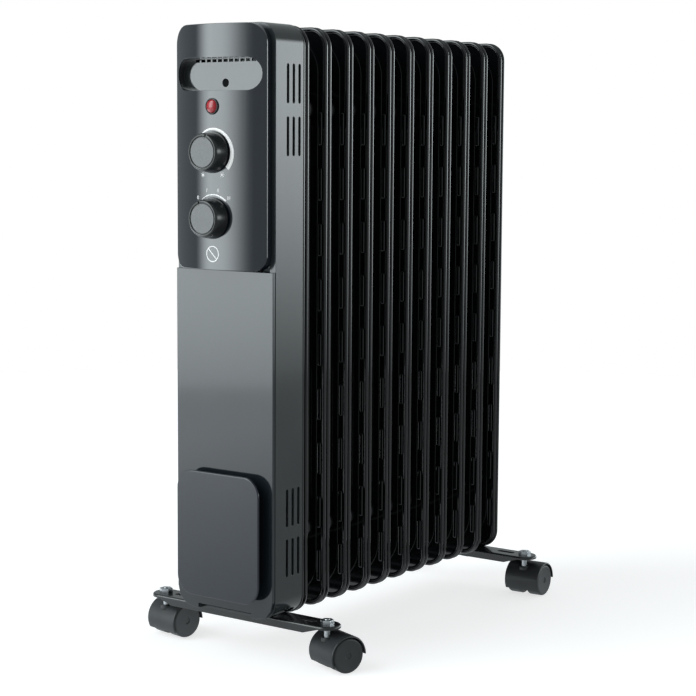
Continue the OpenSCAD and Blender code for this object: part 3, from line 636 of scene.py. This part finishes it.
def panelShape():
    size = panelSizes
    shell = bowedSlab(0, panelHigh.y, size["edgeRound"])
    shell = carved(shell, bowedSlab(size["wall"], panelHigh.y + 0.01, 0))
    front, back = panelLow.y - 0.01, panelLow.y + 0.016
    holes = [lyingStadium(size["recessWidth"], size["recessHeight"], front, back, recessHeight),
             rod(size["lampHole"], (0, front, lampHeight), (0, back, lampHeight))]
    for height in (thermostatHeight, selectorHeight):
        holes.append(rod(size["shaftHole"], (0, front, height), (0, back, height)))
    return carved(shell, joined(*holes))


makePiece("controlPanel", panelShape(), "heater", "panel_gloss", ("control_panel",), panelSizes["edge"], smooth=30)
softCopy("recess_tray", "heater", "recess_plastic", 0.3 * mm)
print("control box built")


# lamp, knobs and printed marks
lampSizes = {
    "lensRadius": 6.4 * mm,
    "lensEdge": 0.9 * mm,
    # radius and depth of each corner of the bezel, in millimetres
    "bezel": ((6.5, 0.9), (6.55, 0.35), (6.8, 0.05), (7.2, 0.0), (7.6, 0.2), (7.9, 0.8), (7.9, 1.4), (6.95, 1.4),
              (6.95, 9.0), (6.5, 9.0)),
}
lensLow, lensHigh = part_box("lamp_lens")
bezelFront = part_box("lamp_bezel")[0].y
bezel = moved(turned([(r * mm, y * mm) for r, y in lampSizes["bezel"]], 64, True), (0, bezelFront, lampHeight))
makePiece("lampBezel", bezel, "heater", "trim_black", ("lamp_bezel",), smooth=40)
lensFront = lensLow.y - bezelFront
lensBody, lensEdge = lampSizes["lensRadius"] - 0.6 * mm, lampSizes["lensEdge"]
lensProfile = [(0, lensHigh.y - bezelFront), (lensBody, lensHigh.y - bezelFront), (lensBody, lensEdge)]
lensProfile += [(lampSizes["lensRadius"] * math.cos(math.radians(turn)),
                 lensEdge + (lensFront - lensEdge) * math.sin(math.radians(turn))) for turn in range(0, 91, 10)]
makePiece("lampLens", moved(turned(lensProfile, 64), (0, bezelFront, lampHeight)), "heater", "lamp_red",
          ("lamp_lens",), smooth=50)

knobSizes = {
    "skirtRadius": 20 * mm,
    "capRadius": 14.4 * mm,
    "height": 15.2 * mm,
    "capSink": 0.5 * mm,
    "pointerWidth": 1.8 * mm,
    "pointerLength": 1.6 * mm,
    "pointerDepth": 1.4 * mm,
    "turns": {"thermostat": 15, "selector": -15},
}


def knobShape():
    size = knobSizes
    top = size["height"]
    # from the bore outwards over the hollow back, the skirt, the rounded rim and the seat of the cap
    profile = ((3, 1), (7, 1), (7, 10.2), (15, 10.2), (18.6, 0.3), (19.4, 0), (20, 0.5), (19.4, 4.2), (18.7, 8.6),
               (18.1, 12.2), (17.7, 13.9), (17.2, 14.8), (16.5, 15.2), (15.7, 15.15), (15.1, 14.8), (14.8, 14.2),
               (14.4, 14.1), (3, 14.1))
    knob = turned([(r * mm, -y * mm) for r, y in profile], 96, True)
    notch = block((-size["pointerWidth"] / 2, -top - 0.001, size["capRadius"] - 0.5 * mm),
                  (size["pointerWidth"] / 2, -top + size["pointerDepth"], size["skirtRadius"]))
    return carved(knob, notch)


def capShape():
    size = knobSizes
    radius, front, back = size["capRadius"], -size["height"] + size["capSink"], -size["height"] + 1.1 * mm
    profile = [(0, back), (radius, back), (radius, front + 0.3 * mm), (radius - 0.3 * mm, front), (0, front)]
    cap = turned(profile, 96)
    notch = block((-0.9 * mm, front - 0.001, radius - size["pointerLength"]),
                  (0.9 * mm, front + 0.35 * mm, radius + 0.001))
    return carved(cap, notch)


for dial, height in (("thermostat", thermostatHeight), ("selector", selectorHeight)):
    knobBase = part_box(dial + "_knob")[1].y
    knobPlace = (Matrix.Translation((0, knobBase, height))
                 @ Matrix.Rotation(math.radians(knobSizes["turns"][dial]), 4, "Y"))
    makePiece(dial + "Knob", moved(knobShape(), matrix=knobPlace), dial + "_dial", "knob_plastic",
              (dial + "_knob",), smooth=35)
    makePiece(dial + "Cap", moved(capShape(), matrix=knobPlace), dial + "_dial", "knob_cap_grey",
              (dial + "_cap",), smooth=35)

markSizes = {"lift": 0.06 * mm, "ink": 0.04 * mm, "numeral": 5.2 * mm, "ringOuter": 7.75 * mm, "ringInner": 6.9 * mm}


# a clockwise angle from the top, as a point around a dial
def onDial(angle, radius):
    turn = math.radians(angle)
    return Vector((radius * math.sin(turn), 0, radius * math.cos(turn)))


def arcMark(startAngle, endAngle, innerRadius, outerStart, outerEnd, steps=60):
    bm = bmesh.new()
    first = [bm.verts.new(onDial(startAngle, r)) for r in (innerRadius, outerStart)]
    line = bm.edges.new(first)
    bmesh.ops.spin(bm, geom=first + [line], cent=(0, 0, 0), axis=(0, 1, 0), dvec=(0, 0, 0),
                   angle=math.radians(endAngle - startAngle), steps=steps, use_merge=False, use_duplicate=False)
    for vert in bm.verts:  # the band widens along its way
        if vert.co.length > (innerRadius + outerStart) / 2:
            angle = math.degrees(math.atan2(vert.co.x, vert.co.z))
            share = (angle - startAngle) / (endAngle - startAngle)
            vert.co *= (outerStart + (outerEnd - outerStart) * share) / outerStart
    return bm


def barMark(start, end, width):
    start, end = Vector(start), Vector(end)
    run = end - start
    bm = bmesh.new()
    bmesh.ops.create_grid(bm, x_segments=6, y_segments=1, size=0.5)
    bmesh.ops.scale(bm, vec=(run.length, width, 1), verts=bm.verts)
    bmesh.ops.rotate(bm, cent=(0, 0, 0), matrix=Matrix.Rotation(math.radians(90), 3, "X"), verts=bm.verts)
    bmesh.ops.rotate(bm, cent=(0, 0, 0), matrix=Matrix.Rotation(-math.atan2(run.z, run.x), 3, "Y"), verts=bm.verts)
    return moved(bm, (start + end) / 2)


def discMark(radius):
    bm = bmesh.new()
    bmesh.ops.create_circle(bm, cap_ends=True, cap_tris=False, segments=24, radius=radius)
    bmesh.ops.rotate(bm, cent=(0, 0, 0), matrix=Matrix.Rotation(math.radians(90), 3, "X"), verts=bm.verts)
    return bm


def textMark(words, size):
    curve = bpy.data.curves.new("words", "FONT")
    curve.body, curve.size, curve.align_x, curve.align_y = words, size, "CENTER", "CENTER"
    obj = bpy.data.objects.new("words", curve)
    scene.collection.objects.link(obj)
    bpy.context.view_layer.update()
    bm = bmesh.new()
    mesh = bpy.data.meshes.new_from_object(obj.evaluated_get(bpy.context.evaluated_depsgraph_get()))
    bm.from_mesh(mesh)
    bpy.data.objects.remove(obj)
    bpy.data.meshes.remove(mesh)
    bmesh.ops.rotate(bm, cent=(0, 0, 0), matrix=Matrix.Rotation(math.radians(90), 3, "X"), verts=bm.verts)
    return bm


def printMarks(name, height, shapes):
    ink = joined(*shapes)
    bmesh.ops.remove_doubles(ink, verts=ink.verts, dist=0.01 * mm)
    bmesh.ops.recalc_face_normals(ink, faces=ink.faces)
    bmesh.ops.reverse_faces(ink, faces=facing(ink, (0, 1, 0), 0))
    moved(ink, (0, 0, height))
    for vert in ink.verts:
        vert.co.y = bowAt(vert.co.x) - markSizes["lift"]
    piece = makePiece(name, ink, "heater", "print_white", flip=False)
    thick = piece.modifiers.new("ink", "SOLIDIFY")
    thick.thickness, thick.offset = markSizes["ink"], 1
    return piece


frost = [barMark(onDial(turn, 2.4 * mm), onDial(turn + 180, 2.4 * mm), 0.5 * mm) for turn in (0, 60, 120)]
sunRays = [barMark(onDial(turn, 1.7 * mm), onDial(turn, 2.6 * mm), 0.5 * mm) for turn in range(0, 360, 45)]
thermostatMarks = [arcMark(-45, 131, 21 * mm, 22.4 * mm, 25.6 * mm)]
thermostatMarks += [moved(shape, onDial(-151, 24.9 * mm)) for shape in frost]
thermostatMarks += [moved(shape, onDial(151, 24.3 * mm)) for shape in [discMark(1.2 * mm)] + sunRays]
printMarks("thermostatScale", thermostatHeight, thermostatMarks)
selectorMarks = [arcMark(-42, 44, 22 * mm, 22.4 * mm, 23.9 * mm, 40)]
for angle, words in ((-45, "0"), (-15, "I"), (15, "II"), (45, "III")):
    selectorMarks.append(moved(textMark(words, markSizes["numeral"]), onDial(angle, 27.2 * mm)))
printMarks("selectorScale", selectorHeight, selectorMarks)
slantedRing = [arcMark(0, 180, markSizes["ringInner"], markSizes["ringOuter"], markSizes["ringOuter"], 32),
               arcMark(-180, 0, markSizes["ringInner"], markSizes["ringOuter"], markSizes["ringOuter"], 32),
               barMark(onDial(-45, markSizes["ringInner"]), onDial(135, markSizes["ringInner"]), 0.9 * mm)]
printMarks("coverMark", panelLow.z + 15.6 * mm, slantedRing)
print("dials and marks placed")


# cord winder and cord bush
winderSizes = {"plateRadius": 19 * mm, "plateRound": 1.25 * mm, "neckRadius": 10 * mm}
plateLow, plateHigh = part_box("winder_plate")
winderPlate = plate(plateLow, plateHigh, winderSizes["plateRadius"], 12)
roundEdges(winderPlate, rimOf(facing(winderPlate, (0, -1, 0))) + rimOf(facing(winderPlate, (0, 1, 0))),
           winderSizes["plateRound"], 4)
makePiece("winderPlate", winderPlate, "heater", "winder_plastic", ("winder_plate",))
neckLow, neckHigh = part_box("winder_neck")
winderNeck = plate(neckLow, neckHigh, winderSizes["neckRadius"], 10)
makePiece("winderNeck", winderNeck, "heater", "winder_plastic", ("winder_neck",))

glandLow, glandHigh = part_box("cord_gland")
glandMiddle = (glandLow + glandHigh) / 2
glandProfile = ((4.2, 0.5), (4.6, 0), (7.2, 0), (8.2, 0.6), (8.5, 1.6), (8.5, 3), (6, 3), (6, 5.2), (7.5, 5.2),
                (7.5, 8.4), (6.9, 9.2), (4.2, 9.2))
gland = turned([(r * mm, y * mm) for r, y in glandProfile], 48, True)
glandPlace = (Matrix.Translation((glandLow.x, glandMiddle.y, glandMiddle.z))
              @ Matrix.Rotation(math.radians(-90), 4, "Z"))
makePiece("cordBush", moved(gland, matrix=glandPlace), "heater", "trim_black", ("cord_gland",), smooth=30)
print("winder and bush built")


# foot bars with their nuts, screws and clamp
barSizes = {"sheet": 2 * mm, "topRound": 2.0 * mm, "slotPlace": 80 * mm, "slotLength": 22 * mm, "slotWidth": 6.5 * mm,
            "flangeEnd": 85 * mm, "tipStart": 103 * mm, "tipFlange": 3.5 * mm, "holeRadius": 3.1 * mm}


def trayShape(low, high):
    size = barSizes
    tray = block(low, high)
    radius = (high.y - low.y) / 2 * 0.985
    roundEdges(tray, edgesAlong(tray, axisZ), radius, 12)
    for cutAt in (-size["tipStart"], -size["flangeEnd"], size["flangeEnd"], size["tipStart"]):
        bmesh.ops.bisect_plane(tray, geom=tray.verts[:] + tray.edges[:] + tray.faces[:], dist=0.001 * mm,
                               plane_co=(cutAt, 0, 0), plane_no=(1, 0, 0))
    for vert in tray.verts:  # the side flanges run out before the tips
        if vert.co.z < high.z - mm and abs(vert.co.x) > size["tipStart"] - mm:
            vert.co.z = high.z - size["tipFlange"]
    roundEdges(tray, rimOf(facing(tray, (0, 0, 1))), size["topRound"], 5)
    return tray


def footBar(node, stemPlaces):
    size = barSizes
    low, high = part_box(node)
    middle = (low.y + high.y) / 2
    tray = trayShape(low, high)
    inner = trayShape(low + Vector((size["sheet"], size["sheet"], -4 * mm)),
                      high - Vector((size["sheet"], size["sheet"], size["sheet"])))
    tray = carved(tray, inner)
    tools = []
    for side in (-1, 1):
        place, long, wide = side * size["slotPlace"], size["slotLength"] / 2, size["slotWidth"] / 2
        slot = block((place - long, middle - wide, low.z), (place + long, middle + wide, high.z + 0.01))
        roundEdges(slot, edgesAlong(slot, axisZ), size["slotWidth"] / 2 * 0.98, 6)
        tools.append(slot)
    for x in stemPlaces:
        tools.append(rod(size["holeRadius"], (x, middle, low.z), (x, middle, high.z + 0.01), 32))
    tray = carved(tray, joined(*tools))
    makePiece(node + ".tray", tray, "heater", "bar_enamel", (node,), 0.25 * mm)


stemPlaces = {}
for corner in corners:
    pivot = next(j for j in frame["joints"] if j["name"] == "swivel_" + corner)["pos_m"]
    stemPlaces[corner] = Vector(pivot)
footBar("front_foot_bar", [stemPlaces[c].x for c in corners[:2]])
footBar("rear_foot_bar", [stemPlaces[c].x for c in corners[2:]])

nutSizes = {"radius": 6.9 * mm, "height": 4.4 * mm, "chamfer": 0.7 * mm, "stemRadius": 3 * mm, "threadPitch": 1 * mm}
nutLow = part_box("caster_nuts")[0]
stemLow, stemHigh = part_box("caster_stems")


def nutShape(place):
    size = nutSizes
    nut = bmesh.new()
    bmesh.ops.create_cone(nut, cap_ends=True, segments=6, radius1=size["radius"], radius2=size["radius"],
                          depth=size["height"])
    roundEdges(nut, rimOf(facing(nut, (0, 0, 1))), size["chamfer"], 3)
    return moved(nut, (place.x, place.y, nutLow.z + size["height"] / 2))


def stemShape(place):
    size = nutSizes
    radius, top, bottom = size["stemRadius"], stemHigh.z, stemLow.z
    profile = [(0, bottom), (radius, bottom), (radius, nutLow.z - 3 * mm)]
    along = nutLow.z - 3 * mm
    while along < top - 1.2 * mm:  # thread
        pitch = size["threadPitch"]
        profile += [(radius - 0.45 * mm, along + pitch * 0.45), (radius, along + pitch * 0.95)]
        along += pitch
    profile += [(radius - 0.6 * mm, top), (0, top)]
    stem = turned(profile, 32)
    return moved(stem, matrix=Matrix.Translation((place.x, place.y, 0)) @ Matrix.Rotation(math.radians(90), 4, "X"))


makePiece("casterNuts", joined(*[nutShape(stemPlaces[c]) for c in corners]), "heater", "zinc", ("caster_nuts",))
makePiece("casterStems", joined(*[stemShape(stemPlaces[c]) for c in corners]), "heater", "zinc", ("caster_stems",),
          smooth=30)
softCopy("rear_bar_clamp", "heater", "zinc", 0.3 * mm)
softCopy("front_bar_screws", "heater", "zinc", 0.4 * mm)
softCopy("header_caps", "heater", "fin_enamel", 0.5 * mm)
print("foot bars built")


# casters
casterSizes = {
    "hoodRadius": 20.2 * mm,
    "hoodInner": 18.6 * mm,
    "hoodHalf": 21 * mm,
    "webHalf": 3.5 * mm,
    "wheelIn": 4.5 * mm,
    "wheelRadius": 17.5 * mm,
    "trail": 12 * mm,
    "bossRadius": 5.8 * mm,
    "bossTop": 34 * mm,
    "frontDrop": 210,
    "wheelFace": ((2.55, 0), (5, 0), (5, 12.5), (14.5, 12.5), (14.5, 0), (16.6, 0), (17.2, 0.3), (17.5, 1.0),
                  (17.5, 13.6), (17.2, 14.6), (16.5, 15.3), (15.4, 15.5), (13.5, 15.3), (9.0, 15.1), (4.2, 15.1),
                  (3.5, 15.0), (3.0, 14.3), (0, 14.2), (0, 13.0), (2.55, 13.0)),
}


# a profile of (radius, distance along X) pairs turned part of the way round the axle
def partTurned(profile, endAngle, steps):
    bm = bmesh.new()
    points = [bm.verts.new((along, radius, 0)) for radius, along in profile]
    lines = [bm.edges.new(pair) for pair in zip(points, points[1:] + points[:1])]
    bmesh.ops.spin(bm, geom=points + lines, cent=(0, 0, 0), axis=(1, 0, 0), dvec=(0, 0, 0),
                   angle=math.radians(endAngle), steps=steps, use_merge=False, use_duplicate=False)
    bmesh.ops.remove_doubles(bm, verts=bm.verts, dist=0.001 * mm)
    bmesh.ops.holes_fill(bm, edges=[edge for edge in bm.edges if edge.is_boundary], sides=0)
    bmesh.ops.recalc_face_normals(bm, faces=bm.faces)
    return bm


def hoodShape():
    size = casterSizes
    outer, inner, half, web = (size["hoodRadius"] / mm, size["hoodInner"] / mm, size["hoodHalf"] / mm,
                               size["webHalf"] / mm)
    shell = [(inner, -half), (outer - 1.1, -half), (outer - 0.4, -half + 0.3), (outer, -half + 1.1),
             (outer, half - 1.1), (outer - 0.4, half - 0.3), (outer - 1.1, half), (inner, half)]
    middle = [(3.2, -web), (outer - 0.5, -web), (outer - 0.5, web), (3.2, web)]
    shapes = [partTurned([(r * mm, x * mm) for r, x in outline], size["frontDrop"], 42)
              for outline in (shell, middle)]
    shapes = [moved(shape, (0, size["trail"], size["wheelRadius"])) for shape in shapes]
    axle = Vector((0, size["trail"], size["wheelRadius"]))
    reach = Vector((web * mm, 0, 0))
    hub = rod(5 * mm, axle - reach, axle + reach, 32)
    boss = rod(size["bossRadius"], (0, 0, 30 * mm), (0, 0, size["bossTop"]), 40)
    roundEdges(boss, rimOf(facing(boss, (0, 0, 1))), 1.0 * mm, 4)
    neck = rod(3.45 * mm, (0, 0, 20 * mm), (0, 0, 30.5 * mm), 32)
    return joined(*shapes, hub, boss, neck)


def wheelShape(side):
    wheel = turned([(r * mm, y * mm) for r, y in casterSizes["wheelFace"]], 72, True)
    turnOut = Matrix.Rotation(math.radians(-90 * side), 4, "Z")
    return moved(wheel, matrix=Matrix.Translation((side * casterSizes["wheelIn"], casterSizes["trail"],
                                                   casterSizes["wheelRadius"])) @ turnOut)


for corner in corners:
    axleAxis = next(j for j in frame["joints"] if j["name"] == "roll_" + corner + "_outer")["axis"]
    swivel = math.atan2(axleAxis[1], axleAxis[0])
    place = Matrix.Translation((stemPlaces[corner].x, stemPlaces[corner].y, 0)) @ Matrix.Rotation(swivel, 4, "Z")
    makePiece("hood." + corner, moved(hoodShape(), matrix=place), "caster_" + corner, "caster_nylon",
              ("hood_" + corner,), smooth=40)
    outward = 1 if stemPlaces[corner].x > 0 else -1
    for label, side in (("outer", outward), ("inner", -outward)):
        node = "wheel_" + corner + "_" + label
        makePiece("wheel." + corner + "." + label, moved(wheelShape(side), matrix=place), node, "caster_nylon",
                  (node,), smooth=35)
print("casters built")
